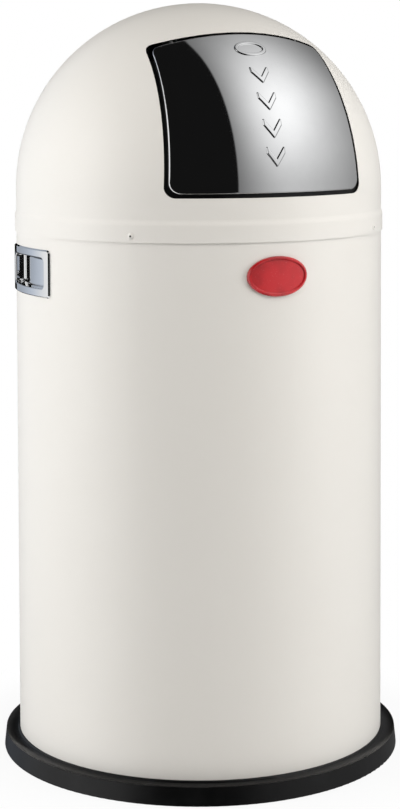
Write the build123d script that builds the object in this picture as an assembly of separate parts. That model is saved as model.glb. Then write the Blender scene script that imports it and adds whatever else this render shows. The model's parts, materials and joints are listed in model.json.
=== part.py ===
from build123d import *
import os
from math import asin, atan2, cos, degrees, radians, sin, sqrt

# A free-standing push bin with a domed hood, in millimetres.
# The floor is z = 0, the bin's axis is +Z and its front faces -Y.
# An angle round the bin is measured from the front towards +X.

# Overall
body_radius = 185.0
total_height = 755.0
sheet = 0.8

# Gaps
fixed_gap = 0.1
free_gap = 0.3
running_gap = 0.05
cutter_length = 30.0

# Foot ring
foot_flare = 15.7
foot_round = 1.5
foot_height = 20.0
crease_inset = 1.8
crease_drop = 1.9
channel_dip = 1.6
lip_width = 2.0
ring_inset = 7.0
tube_lift = 4.0
ledge_height = 10.0

# Floor pan
pan_flange = 8.0
pan_step = 2.0
pan_rim = 35.0

# Joint between tube and hood: the hood's wall goes this far below the dome's centre
hood_skirt = 43.0
band_height = 18.5
band_blend = 6.0
band_clearance = 0.5
hem_height = 7.0
hem_thickness = 0.9

# Hood rivets and guide clips
rivet_angles = (43.5, 136.5, 223.5, 316.5)
rivet_rise = 6.0
rivet_head_radius = 3.25
rivet_head_height = 1.3
rivet_dimple_radius = 1.0
rivet_neck_radius = 1.6
rivet_shoulder_radius = 3.2
rivet_tail_radius = 2.6
rivet_tail_height = 1.0
notch_clearance = 0.6
clip_thickness = 1.2
clip_width = 16.0
clip_height = 15.0

# Flap opening: half angles round the bin, and elevations on the dome
opening_sill_drop = 1.5
opening_angle_bottom = 33.8
opening_angle_middle = 31.8
opening_angle_top = 29.7
opening_middle_elevation = 25.6
opening_corner_elevation = 49.2
opening_crown_elevation = 56.3
opening_round = 10.0

# Flap
flap_gap_side = 3.8
flap_gap_bottom = 4.0
flap_gap_top = 2.0
flap_proud = 1.2
flap_depth = 3.2
flap_edge_round = 1.5
backing_overlap = 7.0
backing_thickness = 2.4
buffer_inset = 14.0
buffer_margin = 0.5

# Flap hinge: the axle lies this far inside the dome, at this elevation
hinge_inset = 21.0
hinge_elevation = 58.4
backing_elevation = 52.6
axle_radius = 2.5
bracket_spacing = 132.0
bracket_thickness = 1.5
bracket_eye_radius = 6.2
bracket_foot_start = 61.4
bracket_foot_end = 74.4
bracket_foot_width = 15.0
axle_overhang = 5.0
clip_ring_radius = 4.6
clip_ring_thickness = 0.8
groove_depth = 0.6
ear_spacing = 66.0
ear_thickness = 2.0
ear_eye_radius = 6.5
bush_wall = 1.5
bush_flange_radius = 5.6
bush_flange_thickness = 0.8
strap_width = 104.0
strap_thickness = 1.5
strap_low_elevation = 43.0
strap_high_elevation = 51.0
strap_lap = 3.0
strap_rivet_radius = 1.6
strap_rivet_head_radius = 3.2
strap_rivet_head_height = 1.2
strap_rivet_inset = 9.0
strap_rivet_head_gap = 0.35

# Torsion springs
spring_wire_radius = 0.7
spring_coil_radius = 4.6
spring_turns = 6
spring_leg = 6.0
spring_bend = 3.0
ear_hole_direction = 180.0
bracket_hole_direction = 80.0

# Raised marks on the flap
mark_elevations = (37.3, 28.3, 19.7, 11.3)
mark_width = 17.0
mark_height = 17.0
mark_stroke = 3.6
mark_raise = 0.7
ring_mark_elevation = 47.8
ring_mark_width = 31.0
ring_mark_height = 19.0
ring_mark_stroke = 2.2

# Badge
badge_drop = 32.4
badge_width = 62.0
badge_depth = 38.0
badge_proud = 3.0
badge_rim = 3.6
badge_bevel = 1.2
badge_lip = 1.3
badge_recess = 2.2
badge_stud_radius = 1.5
badge_stud_spacing = 36.0
badge_stud_length = 5.0
push_nut_radius = 4.5
push_nut_thickness = 0.5
push_nut_collar = 1.0
push_nut_stand = 0.2

# Side handles
handle_drop = 35.6
handle_width = 102.5
handle_depth = 46.7
handle_corner = 4.0
handle_proud = 2.0
handle_bevel = 1.3
cup_side_rim = 9.25
cup_end_rim = 8.0
cup_corner = 5.0
cup_depth = 10.0
cup_draft = 8.0
cup_wall = 1.0
cup_floor_round = 2.5
cup_lip_round = 1.5
cup_hole_clearance = 0.5
handle_stud_inset = 4.65
handle_stud_radius = 1.5
clamp_thickness = 1.5
clamp_margin = 1.5
nut_width = 5.5
nut_thickness = 2.4
nut_stud_over = 1.0

# Liner
liner_drop = 6.0
liner_side_gap = 25.0
liner_taper = 12.0
liner_round = 4.0
liner_bead_radius = 2.5

# Bail
bail_pivot_drop = 13.0
bail_stand_off = 6.9
bail_wire_radius = 2.5
bail_bend = 4.0
bail_hole_gap = 0.1
bail_grip_radius = 5.0
bail_grip_angle = 38.0
ear_pad_width = 46.0
ear_pad_height = 22.0
ear_pad_thickness = 1.5
ear_boss_radius = 6.5
ear_boss_stand = 3.0
ear_boss_sink = 0.6
ear_top_gap = 0.5
ear_rivet_offset = 5.8
ear_rivet_radius = 1.6
ear_rivet_head_radius = 3.0
ear_rivet_head_height = 1.0
ear_rivet_lean = 0.25

# Sizes that follow
dome_centre = total_height - body_radius
seam_height = dome_centre - hood_skirt
foot_radius = body_radius + foot_flare
pan_raised_radius = body_radius - pan_rim
opening_bottom = dome_centre - opening_sill_drop
opening_middle = dome_centre + body_radius * sin(radians(opening_middle_elevation))
opening_corner = dome_centre + body_radius * sin(radians(opening_corner_elevation))
opening_crown = dome_centre + body_radius * sin(radians(opening_crown_elevation))
opening_half_bottom = body_radius * sin(radians(opening_angle_bottom))
opening_half_middle = body_radius * sin(radians(opening_angle_middle))
opening_half_top = body_radius * sin(radians(opening_angle_top))
hinge_radius = body_radius - hinge_inset
badge_height = seam_height - badge_drop
handle_height = seam_height - handle_drop
cup_width = handle_width - 2 * cup_side_rim
cup_height = handle_depth - 2 * cup_end_rim
liner_top = seam_height - liner_drop
liner_top_radius = body_radius - liner_side_gap
liner_bottom_radius = liner_top_radius - liner_taper
bail_pivot_height = liner_top - bail_pivot_drop
bail_radius = liner_top_radius + bail_stand_off
tube_inside = body_radius - sheet
dome_inside = body_radius - sheet
band_inside = body_radius + band_clearance
band_outside = band_inside + sheet
shoulder_height = seam_height + band_height - band_blend / 2
rim_top = shoulder_height - free_gap
rivet_height = seam_height + rivet_rise
skin_radius = body_radius + flap_proud
skin_back = skin_radius - flap_depth
backing_radius = skin_back - fixed_gap
backing_back = backing_radius - backing_thickness
strap_radius = backing_back - fixed_gap
hinge_y = -hinge_radius * cos(radians(hinge_elevation))
hinge_z = dome_centre + hinge_radius * sin(radians(hinge_elevation))
pan_top = ledge_height + pan_step + sheet
through_wall = (body_radius - cutter_length / 2, body_radius + cutter_length / 2)
liner_bottom = pan_top + free_gap
reach = body_radius + 2 * cutter_length


def turned(*edges):
    """Turns a closed outline of (radius, height) edges round the bin's axis."""
    return revolve(Plane.XZ * make_face(Curve() + list(edges)), Axis.Z, 360)


def turned_points(*points):
    return turned(Polyline(*points, close=True))


def dome(radius, bottom=0.0):
    """Solid of the dome and its straight wall, down to a height."""
    return turned(
        Polyline((0, dome_centre + radius), (0, bottom), (radius, bottom), (radius, dome_centre)),
        CenterArc((0, dome_centre), radius, 0, 90),
    )


def drum(radius, bottom, top):
    return turned_points((0, bottom), (radius, bottom), (radius, top), (0, top))


def tube_between(inner, outer, bottom, top):
    return turned_points((inner, bottom), (outer, bottom), (outer, top), (inner, top))


def peg(radius, start, end, angle=90.0, height=0.0):
    """Round bar that points out from the axis, between two radii."""
    bar = Plane(origin=(start, 0, 0), z_dir=(1, 0, 0)) * extrude(Circle(radius), end - start)
    return Pos(0, 0, height) * Rot(0, 0, angle - 90) * bar


def front_prism(face):
    """Extrudes a face drawn as seen from the front out to -Y."""
    return extrude(Plane.XZ * face, reach)


def side_prism(face, height):
    """Extrudes a face drawn as seen from the side out to +X."""
    return extrude(Plane(origin=(0, 0, height), x_dir=(0, 1, 0), z_dir=(1, 0, 0)) * face, reach)


def across(face, x_low, x_high):
    """Extrudes a face drawn in (y, z) between two places along X."""
    return extrude(Plane(origin=(x_low, 0, 0), x_dir=(0, 1, 0), z_dir=(1, 0, 0)) * face, x_high - x_low)


def side_slice(x_low, x_high):
    """Everything between two places along X."""
    return across(Pos(0, dome_centre) * Rectangle(4 * reach, 4 * reach), x_low, x_high)


def mirrored(shape):
    return mirror(shape, about=Plane.YZ)


def group(shapes):
    """Separate solids of one node."""
    return Compound(children=[solid for shape in shapes for solid in shape.solids()])


def on_dome(radius, elevation):
    """Place (y, z) on a circle of the dome in the plane x = 0."""
    turn = radians(elevation)
    return (-radius * cos(turn), dome_centre + radius * sin(turn))


def outer_edges(shape, radius, tolerance=0.02):
    """Edges whose ends and middle all lie on the surface of the body or dome of a radius."""

    def off(point):
        lift = max(point.Z - dome_centre, 0.0)
        return abs(sqrt(point.X ** 2 + point.Y ** 2 + lift ** 2) - radius)

    return [e for e in shape.edges() if all(off(e @ t) < tolerance for t in (0.0, 0.25, 0.5, 0.75, 1.0))]


def body_tube():
    hem = tube_inside - hem_thickness
    wall = turned_points(
        (tube_inside, tube_lift),
        (body_radius, tube_lift),
        (body_radius, rim_top - hem_thickness / 2),
        (body_radius - hem_thickness / 2, rim_top),
        (hem + hem_thickness / 2, rim_top),
        (hem, rim_top - hem_thickness / 2),
        (hem, rim_top - hem_height),
        (tube_inside, rim_top - hem_height - hem_thickness),
    )
    notch_half = rivet_shoulder_radius + notch_clearance
    notch = Pos(body_radius, 0, 0) * Box(
        cutter_length, 2 * notch_half, band_height, align=(Align.CENTER, Align.CENTER, Align.MIN)
    )
    for angle in rivet_angles:
        wall -= Pos(0, 0, rivet_height) * Rot(0, 0, angle - 90) * notch
        wall -= peg(notch_half, *through_wall, angle, rivet_height)
    hole = side_prism(cup_outline(cup_wall + cup_hole_clearance), handle_height)
    for side in (hole, mirrored(hole)):
        wall -= side
    for angle in stud_angles():
        wall -= peg(handle_stud_radius + fixed_gap, *through_wall, angle, handle_height)
    for angle in badge_stud_angles():
        wall -= peg(badge_stud_radius + fixed_gap, *through_wall, angle, badge_height)
    return wall


def base_ring():
    lip_outer = body_radius + fixed_gap + lip_width
    crease = (foot_radius - crease_inset, foot_height - crease_drop)
    lip_foot = (lip_outer, foot_height - lip_width)
    channel = ((crease[0] + lip_outer) / 2, crease[1] - channel_dip)
    ring_inner = body_radius - ring_inset
    pocket_in = tube_inside - fixed_gap
    pocket_out = body_radius + fixed_gap
    return turned(
        Line((ring_inner, 0), (foot_radius - foot_round, 0)),
        CenterArc((foot_radius - foot_round, foot_round), foot_round, -90, 90),
        Line((foot_radius, foot_round), crease),
        ThreePointArc(crease, channel, lip_foot),
        CenterArc((lip_outer - lip_width, foot_height - lip_width), lip_width, 0, 90),
        Polyline(
            (pocket_out, foot_height),
            (pocket_out, tube_lift),
            (pocket_in, tube_lift),
            (pocket_in, ledge_height),
            (ring_inner, ledge_height),
            (ring_inner, 0),
        ),
    )


def floor_pan():
    edge = tube_inside - fixed_gap
    top = ledge_height + sheet
    return turned_points(
        (0, ledge_height + pan_step),
        (pan_raised_radius, ledge_height + pan_step),
        (pan_raised_radius + 2 * pan_step, ledge_height),
        (edge, ledge_height),
        (edge, ledge_height + pan_flange),
        (edge - sheet, ledge_height + pan_flange),
        (edge - sheet, top),
        (pan_raised_radius + 2 * pan_step + sheet / 2, top),
        (pan_raised_radius + sheet / 2, pan_top),
        (0, pan_top),
    )


def hood_shell():
    low, middle, top = (shoulder_height + share * band_blend for share in (0, 0.5, 1))
    outer = turned(
        Polyline(
            (0, total_height), (0, seam_height), (band_outside, seam_height), (band_outside, low)
        ),
        Bezier((band_outside, low), (band_outside, middle), (body_radius, middle), (body_radius, top)),
        Line((body_radius, top), (body_radius, dome_centre)),
        CenterArc((0, dome_centre), body_radius, 0, 90),
    )
    inner = dome(dome_inside, seam_height) + drum(band_inside, seam_height, shoulder_height)
    shell = outer - inner - front_prism(flap_outline())
    for angle in rivet_angles:
        shell -= peg(rivet_neck_radius + fixed_gap, *through_wall, angle, rivet_height)
    return shell


def hood_rivets():
    neck_in = tube_inside - hem_thickness - free_gap
    tail_out = neck_in - clip_thickness - 2 * fixed_gap
    shoulder_out = band_inside - fixed_gap
    seat = band_outside + fixed_gap / 2
    crown_radius = rivet_head_radius ** 2 / (2 * rivet_head_height) + rivet_head_height / 2
    crown_centre = seat + rivet_head_height - crown_radius

    def crown(radius):
        return (crown_centre + sqrt(crown_radius ** 2 - radius ** 2), radius)

    rim = crown(rivet_dimple_radius)
    dimple_floor = seat + rivet_head_height / 2
    outline = Curve() + [
        Polyline(
            (dimple_floor, 0),
            (tail_out - rivet_tail_height, 0),
            (tail_out - rivet_tail_height, rivet_tail_radius),
            (tail_out, rivet_tail_radius),
            (tail_out, rivet_neck_radius),
            (neck_in, rivet_neck_radius),
            (neck_in, rivet_shoulder_radius),
            (shoulder_out, rivet_shoulder_radius),
            (shoulder_out, rivet_neck_radius),
            (seat, rivet_neck_radius),
            (seat, rivet_head_radius),
        ),
        ThreePointArc(
            (seat, rivet_head_radius), crown((rivet_head_radius + rivet_dimple_radius) / 2), rim
        ),
        Polyline(rim, (dimple_floor, rivet_dimple_radius), (dimple_floor, 0)),
    ]
    rivet = revolve(make_face(outline), Axis.X, 360)
    return group([Pos(0, 0, rivet_height) * Rot(0, 0, angle - 90) * rivet for angle in rivet_angles])


def guide_clips():
    outer = tube_inside - hem_thickness - free_gap - fixed_gap
    ring = tube_between(
        outer - clip_thickness, outer, rivet_height - clip_height / 2, rivet_height + clip_height / 2
    )
    clips = []
    for angle in rivet_angles:
        block = Pos(0, 0, rivet_height) * Rot(0, 0, angle - 90) * Pos(outer, 0, 0) * Box(
            cutter_length, clip_width, cutter_length
        )
        clip = ring & block
        clip -= peg(rivet_neck_radius + fixed_gap, *through_wall, angle, rivet_height)
        clips.append(clip)
    return group(clips)


def flap_outline(side=0.0, bottom=0.0, top=0.0, corner=opening_round):
    """The opening as seen from the front, drawn in by these amounts, or out where negative."""
    low = (opening_half_bottom - side, opening_bottom + bottom)
    middle = (opening_half_middle - side, opening_middle)
    high = (opening_half_top - side, opening_corner - top)
    crown = (0, opening_crown - top)

    def left(point):
        return (-point[0], point[1])

    face = make_face(
        Curve()
        + [
            Line(left(low), low),
            ThreePointArc(low, middle, high),
            ThreePointArc(high, crown, left(high)),
            ThreePointArc(left(high), left(middle), left(low)),
        ]
    )
    return fillet(face.vertices(), corner)


def mark_plane(elevation):
    y, z = on_dome(skin_radius, elevation)
    turn = radians(elevation)
    return Plane(origin=(0, y, z), x_dir=(1, 0, 0), z_dir=(0, -cos(turn), sin(turn)))


def chevron():
    half, rise = mark_width / 2, mark_height / 2
    drop = mark_height - 1.4 * mark_stroke
    thick = 1.4 * mark_stroke
    return make_face(
        Polyline(
            (-half, rise),
            (-half, rise - thick),
            (0, rise - thick - drop),
            (half, rise - thick),
            (half, rise),
            (0, rise - drop),
            close=True,
        )
    )


def flap_skin():
    edge = flap_outline(flap_gap_side, flap_gap_bottom, flap_gap_top)
    block = front_prism(edge) & dome(skin_radius)
    block = fillet(outer_edges(block, skin_radius), flap_edge_round)
    hollow = front_prism(
        flap_outline(
            flap_gap_side + sheet, flap_gap_bottom + sheet, flap_gap_top + sheet, opening_round - sheet
        )
    ) & dome(skin_radius - sheet)
    skin = block - dome(skin_back) - hollow
    layer = dome(skin_radius + mark_raise) - dome(skin_radius - sheet / 2)
    for elevation in mark_elevations:
        skin += extrude(mark_plane(elevation) * chevron(), 6, both=True) & layer
    ring = Ellipse(ring_mark_width / 2, ring_mark_height / 2) - Ellipse(
        ring_mark_width / 2 - ring_mark_stroke, ring_mark_height / 2 - ring_mark_stroke
    )
    skin += extrude(mark_plane(ring_mark_elevation) * ring, 6, both=True) & layer
    return skin


def below_elevation(elevation):
    """Half space in front of the plane that rises from the dome's centre at an elevation."""
    far = 2 * reach
    y, z = on_dome(far, elevation)
    wedge = make_face(
        Polyline((0, dome_centre), (y, z), (-far, z), (-far, 0), (0, 0), close=True)
    )
    return across(wedge, -reach, reach)


def flap_backing():
    edge = flap_outline(-backing_overlap, -backing_overlap, 0, opening_round + backing_overlap)
    panel = front_prism(edge) & (dome(backing_radius) - dome(backing_back))
    panel = panel & below_elevation(backing_elevation)
    for place in strap_rivet_places():
        panel -= place * Cylinder(strap_rivet_radius + fixed_gap, cutter_length)
    return panel


def strap_rivet_places():
    """Planes on the dome where the strap is riveted to the backing."""
    middle = radians((strap_low_elevation + strap_high_elevation) / 2)
    out = strap_width / 2 - strap_rivet_inset
    near = ear_spacing / 2 - ear_thickness - strap_rivet_inset
    places = []
    for x in (-out, -near, near, out):
        flat = sqrt(backing_radius ** 2 - x ** 2)
        y, z = -flat * cos(middle), flat * sin(middle)
        places.append(Plane(origin=(x, y, dome_centre + z), z_dir=(x, y, z)))
    return places


def hinge_strap():
    sheet_layer = dome(strap_radius) - dome(strap_radius - strap_thickness)
    front = below_elevation(strap_high_elevation) - below_elevation(strap_low_elevation)
    strap = sheet_layer & front & side_slice(-strap_width / 2, strap_width / 2)
    eye = on_dome(hinge_radius, hinge_elevation)
    arm = make_face(
        Polyline(
            on_dome(strap_radius, strap_low_elevation + 1),
            on_dome(strap_radius + strap_lap, strap_high_elevation),
            on_dome(hinge_radius + ear_eye_radius, hinge_elevation - 1),
            on_dome(hinge_radius - ear_eye_radius, hinge_elevation - 1),
            close=True,
        )
    )
    plate = arm + Pos(*eye) * Circle(ear_eye_radius)
    for side in (-1, 1):
        x = side * ear_spacing / 2
        ear = across(plate, x - ear_thickness / 2, x + ear_thickness / 2)
        strap += ear & dome(strap_radius)
    bore = axle_radius + running_gap + bush_wall + running_gap
    strap -= axle_bar(bore, -reach, reach)
    for side in (-1, 1):
        x = side * ear_spacing / 2
        hole = Pos(*spring_hole(ear_hole_direction)) * Circle(spring_wire_radius + 2 * fixed_gap)
        strap -= across(hole, x - ear_thickness, x + ear_thickness)
    for place in strap_rivet_places():
        strap -= place * Cylinder(strap_rivet_radius + fixed_gap, cutter_length)
    return strap


def strap_rivets():
    depth = backing_thickness + 2 * fixed_gap + strap_thickness
    outline = Polyline(
        (0, strap_rivet_head_height),
        (0, -depth - strap_rivet_head_height),
        (strap_rivet_head_radius, -depth - strap_rivet_head_height),
        (strap_rivet_head_radius, -depth - strap_rivet_head_gap),
        (strap_rivet_radius, -depth - strap_rivet_head_gap),
        (strap_rivet_radius, strap_rivet_head_gap),
        (strap_rivet_head_radius, strap_rivet_head_gap),
        (strap_rivet_head_radius, strap_rivet_head_height),
        close=True,
    )
    rivet = revolve(Plane.XZ * make_face(outline), Axis.Z, 360)
    return group([place * rivet for place in strap_rivet_places()])


def axle_bar(radius, x_low, x_high):
    return across(Pos(hinge_y, hinge_z) * Circle(radius), x_low, x_high)


def flap_bushes():
    bushes = []
    outer = axle_radius + running_gap + bush_wall
    for side in (-1, 1):
        x = side * ear_spacing / 2
        half = ear_thickness / 2 + fixed_gap
        flange_end = half + bush_flange_thickness
        bush = axle_bar(outer, x - flange_end, x + flange_end)
        for end in (-1, 1):
            low, high = sorted((x + end * half, x + end * flange_end))
            bush += axle_bar(bush_flange_radius if end * side < 0 else outer, low, high)
        bush -= axle_bar(axle_radius + running_gap, x - reach, x + reach)
        bushes.append(bush)
    return group(bushes)


def flap_buffers():
    thickness = dome_inside - backing_radius - free_gap - fixed_gap
    pads = []
    z = opening_bottom - backing_overlap / 2
    pad_radius = backing_overlap / 2 - buffer_margin
    layer = dome(backing_radius + fixed_gap + thickness) - dome(backing_radius + fixed_gap)
    for x in (-opening_half_bottom + buffer_inset, 0, opening_half_bottom - buffer_inset):
        slot = SlotOverall(4 * pad_radius, 2 * pad_radius)
        pads.append(front_prism(Pos(x, z) * slot) & layer)
    return group(pads)


def hinge_axle():
    half = bracket_spacing / 2 + bracket_thickness / 2 + axle_overhang
    axle = axle_bar(axle_radius, -half, half)
    for side in (-1, 1):
        x = side * groove_place()
        low, high = x - clip_ring_thickness / 2 - fixed_gap, x + clip_ring_thickness / 2 + fixed_gap
        axle -= axle_bar(bracket_eye_radius, low, high) - axle_bar(axle_radius - groove_depth, low, high)
    return axle


def groove_place():
    return bracket_spacing / 2 + bracket_thickness / 2 + free_gap + clip_ring_thickness / 2


def axle_clips():
    clips = []
    inner = axle_radius - groove_depth + running_gap
    face = Pos(hinge_y, hinge_z) * (Circle(clip_ring_radius) - Circle(inner))
    face -= Pos(hinge_y, hinge_z - clip_ring_radius) * Rectangle(1.6 * inner, 2 * clip_ring_radius)
    for side in (-1, 1):
        x = side * groove_place()
        clips.append(across(face, x - clip_ring_thickness / 2, x + clip_ring_thickness / 2))
    return group(clips)


def hinge_bracket():
    """The bracket on the +X side: a plate with an eye, and a foot that follows the dome."""
    eye = on_dome(hinge_radius, hinge_elevation)
    arm = make_face(
        Polyline(
            on_dome(hinge_radius - bracket_eye_radius, hinge_elevation + 1),
            eye,
            on_dome(reach, bracket_foot_start),
            on_dome(reach, bracket_foot_end),
            on_dome(hinge_radius, bracket_foot_end),
            close=True,
        )
    )
    plate = arm + Pos(*eye) * Circle(bracket_eye_radius)
    x = bracket_spacing / 2
    inside = dome(dome_inside - fixed_gap)
    bracket = across(plate, x - bracket_thickness / 2, x + bracket_thickness / 2) & inside
    foot = inside - dome(dome_inside - fixed_gap - bracket_thickness)
    foot = foot & (below_elevation(bracket_foot_end) - below_elevation(bracket_foot_start))
    low = x - bracket_thickness / 2
    foot = foot & side_slice(low, low + bracket_foot_width)
    bracket += foot
    bracket -= axle_bar(axle_radius + running_gap, 0, reach)
    hole = Pos(*spring_hole(bracket_hole_direction)) * Circle(spring_wire_radius + 2 * fixed_gap)
    bracket -= across(hole, 0, reach)
    return bracket


def spring_hole(direction):
    """Place (y, z) where a spring leg passes through its plate, in a direction from the axle."""
    turn = radians(direction)
    out = sqrt(spring_coil_radius ** 2 + spring_leg ** 2)
    return hinge_y + out * cos(turn), hinge_z + out * sin(turn)


def biarc(start, start_way, end, end_way):
    """Two tangent arcs between two points with given directions."""
    start, end = Vector(*start), Vector(*end)
    leave, arrive = Vector(*start_way).normalized(), Vector(*end_way).normalized()
    gap = end - start
    both = gap.dot(leave + arrive)
    bend = 2 * (1 - leave.dot(arrive))
    handle = (sqrt(both ** 2 + bend * gap.dot(gap)) - both) / bend
    first, second = start + leave * handle, end - arrive * handle
    middle = (first + second) / 2
    return [
        TangentArc(start, middle, tangent=leave),
        TangentArc(middle, end, tangent=second - first),
    ]


def flap_spring():
    """The spring on the +X side: from the flap's ear, round the axle, to the bracket."""
    lead = degrees(atan2(spring_leg, spring_coil_radius))
    first_angle = ear_hole_direction + lead
    last_angle = bracket_hole_direction - lead + 360.0 * spring_turns
    margin = bush_flange_thickness + 3 * spring_wire_radius + spring_bend
    x_low = ear_spacing / 2 + ear_thickness / 2 + margin
    x_high = bracket_spacing / 2 - bracket_thickness / 2 - margin
    sweep_angle = last_angle - first_angle
    climb = (x_high - x_low) / radians(sweep_angle)
    steps = round(sweep_angle / 90)

    def place(step):
        turn = radians(first_angle + sweep_angle * step / steps)
        point = (
            x_low + (x_high - x_low) * step / steps,
            hinge_y + spring_coil_radius * cos(turn),
            hinge_z + spring_coil_radius * sin(turn),
        )
        way = (climb, -spring_coil_radius * sin(turn), spring_coil_radius * cos(turn))
        return point, way

    first_hole, last_hole = spring_hole(ear_hole_direction), spring_hole(bracket_hole_direction)
    start, start_way = place(0)
    last, last_way = place(steps)
    first_bend = (start[0] - spring_bend, *first_hole)
    last_bend = (last[0] + spring_bend, *last_hole)
    along = (1, 0, 0)
    edges = [Line((ear_spacing / 2 - ear_thickness, *first_hole), first_bend)]
    edges += biarc(first_bend, along, start, start_way)
    for step in range(steps):
        edges += biarc(*place(step), *place(step + 1))
    edges += biarc(last, last_way, last_bend, along)
    edges.append(Line(last_bend, (bracket_spacing / 2 + bracket_thickness, *last_hole)))
    return swept(edges, Circle(spring_wire_radius))


def swept(edges, section):
    """Sweeps a section square along a chain of edges."""
    path = Wire([edge.edge() for edge in edges])
    first = edges[0]
    return sweep(Plane(origin=first @ 0, z_dir=first % 0) * section, path)


def badge_stud_angles():
    half = degrees(asin(badge_stud_spacing / 2 / body_radius))
    return (-half, half)


def badge_plate():
    back = body_radius + fixed_gap
    layer = tube_between(back, body_radius + badge_proud, 0, total_height)
    blank = front_prism(Pos(0, badge_height) * Ellipse(badge_width / 2, badge_depth / 2)) & layer
    pocket = front_prism(
        Pos(0, badge_height) * Ellipse(badge_width / 2 - badge_rim, badge_depth / 2 - badge_rim)
    )
    floor = body_radius + badge_proud - badge_recess
    plate = blank - (pocket - drum(floor, 0, total_height))
    plate = chamfer(outer_edges(plate, body_radius + badge_proud), badge_bevel)
    for angle in badge_stud_angles():
        plate += peg(badge_stud_radius, body_radius - badge_stud_length, floor, angle, badge_height)
    return plate


def badge_enamel():
    floor = body_radius + badge_proud - badge_recess + fixed_gap / 2
    layer = tube_between(floor, body_radius + badge_proud - badge_lip, 0, total_height)
    inset = badge_rim + fixed_gap / 2
    outline = Ellipse(badge_width / 2 - inset, badge_depth / 2 - inset)
    return front_prism(Pos(0, badge_height) * outline) & layer


def badge_nuts():
    nuts = []
    outer = tube_inside - fixed_gap - push_nut_stand
    for angle in badge_stud_angles():
        collar = badge_stud_radius + push_nut_collar
        nut = peg(push_nut_radius, outer - push_nut_thickness, outer, angle, badge_height)
        nut += peg(collar, outer - 3 * push_nut_thickness, outer, angle, badge_height)
        nuts.append(nut - peg(badge_stud_radius + fixed_gap / 2, *through_wall, angle, badge_height))
    return group(nuts)


def stud_angles():
    """Angles of the four handle studs."""
    offset = degrees(asin((handle_width / 2 - handle_stud_inset) / tube_inside))
    return [side + end * offset for side in (90, 270) for end in (-1, 1)]


def cup_outline(grown=0.0):
    """The cup's mouth, grown outward by an amount."""
    return RectangleRounded(cup_width + 2 * grown, cup_height + 2 * grown, cup_corner + grown)


def cup_space(grown, floor_radius):
    """The space of the cup, grown by an amount, down to a floor as curved as the tube."""
    front = body_radius + handle_proud
    mouth = Plane(origin=(front, 0, handle_height), x_dir=(0, 1, 0), z_dir=(-1, 0, 0))
    floor_end = sqrt(floor_radius ** 2 - (cup_width / 2 + grown) ** 2)
    space = extrude(mouth * cup_outline(grown), front - floor_end + cup_floor_round, taper=cup_draft)
    space -= drum(floor_radius, 0, total_height)
    return fillet(outer_edges(space, floor_radius), cup_floor_round)


def handle_cup():
    """The handle on the +X side: a curved plate and its pressed cup."""
    front = body_radius + handle_proud
    back = body_radius + fixed_gap
    layer = tube_between(back, front, 0, total_height)
    plate = side_prism(RectangleRounded(handle_width, handle_depth, handle_corner), handle_height) & layer
    plate = chamfer(outer_edges(plate, front), handle_bevel)
    bowl = cup_space(cup_wall, front - cup_depth - cup_wall) & drum(front - handle_bevel, 0, total_height)
    cup = plate + bowl - cup_space(0.0, front - cup_depth)
    lip = [
        edge
        for edge in outer_edges(cup, front)
        if abs((edge @ 0.5).Z - handle_height) < cup_height / 2 + cup_wall
        and abs((edge @ 0.5).Y) < cup_width / 2 + cup_wall
    ]
    cup = fillet(lip, cup_lip_round)
    stud_end = tube_inside - 2 * fixed_gap - clamp_thickness - nut_thickness - nut_stud_over
    for angle in stud_angles()[:2]:
        cup += peg(handle_stud_radius, stud_end, (back + front) / 2, angle, handle_height)
    return cup


def handle_clamp():
    outer = tube_inside - fixed_gap
    layer = tube_between(outer - clamp_thickness, outer, 0, total_height)
    clamp = side_prism(
        RectangleRounded(handle_width - 2 * clamp_margin, handle_depth - 2 * clamp_margin, handle_corner),
        handle_height,
    ) & layer
    clamp -= side_prism(cup_outline(cup_wall + cup_hole_clearance), handle_height)
    for angle in stud_angles()[:2]:
        clamp -= peg(handle_stud_radius + fixed_gap, *through_wall, angle, handle_height)
    return clamp


def handle_nuts():
    nuts = []
    seat = tube_inside - 2 * fixed_gap - clamp_thickness - fixed_gap
    for angle in stud_angles():
        nut = Plane(origin=(seat - nut_thickness, 0, 0), z_dir=(1, 0, 0)) * extrude(
            RegularPolygon(nut_width / 2, 6, major_radius=False), nut_thickness
        )
        nut -= peg(handle_stud_radius + running_gap, *through_wall)
        nuts.append(Pos(0, 0, handle_height) * Rot(0, 0, angle - 90) * nut)
    return group(nuts)


def liner_radius(height):
    """Outside radius of the liner's sloping wall at a height."""
    share = (height - liner_bottom) / (liner_top - liner_bottom)
    return liner_bottom_radius + share * (liner_top_radius - liner_bottom_radius)


def liner():
    wall_top = liner_top - liner_bead_radius
    round_top = liner_bottom + liner_round
    round_start = liner_bottom_radius - liner_round
    outside, inside = liner_radius(round_top), liner_radius(round_top) - sheet
    middle = liner_round * (1 - sqrt(0.5))
    shell = turned(
        Line((0, liner_bottom), (round_start, liner_bottom)),
        ThreePointArc(
            (round_start, liner_bottom),
            (liner_bottom_radius - middle, liner_bottom + middle),
            (outside, round_top),
        ),
        Polyline(
            (outside, round_top),
            (liner_radius(wall_top), wall_top),
            (liner_radius(wall_top) - sheet, wall_top),
            (inside, round_top),
        ),
        ThreePointArc(
            (inside, round_top),
            (liner_bottom_radius - middle - sheet * sqrt(0.5), liner_bottom + middle + sheet * sqrt(0.5)),
            (round_start, liner_bottom + sheet),
        ),
        Polyline((round_start, liner_bottom + sheet), (0, liner_bottom + sheet), (0, liner_bottom)),
    )
    bead_at = liner_radius(wall_top) - sheet + liner_bead_radius
    shell += revolve(Plane.XZ * (Pos(bead_at, wall_top) * Circle(liner_bead_radius)), Axis.Z, 360)
    low, high = liner_bottom_radius - liner_round, liner_top_radius + liner_round
    for angle in ear_rivet_angles():
        shell -= peg(ear_rivet_radius + fixed_gap, low, high, angle, bail_pivot_height)
    return shell


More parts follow.
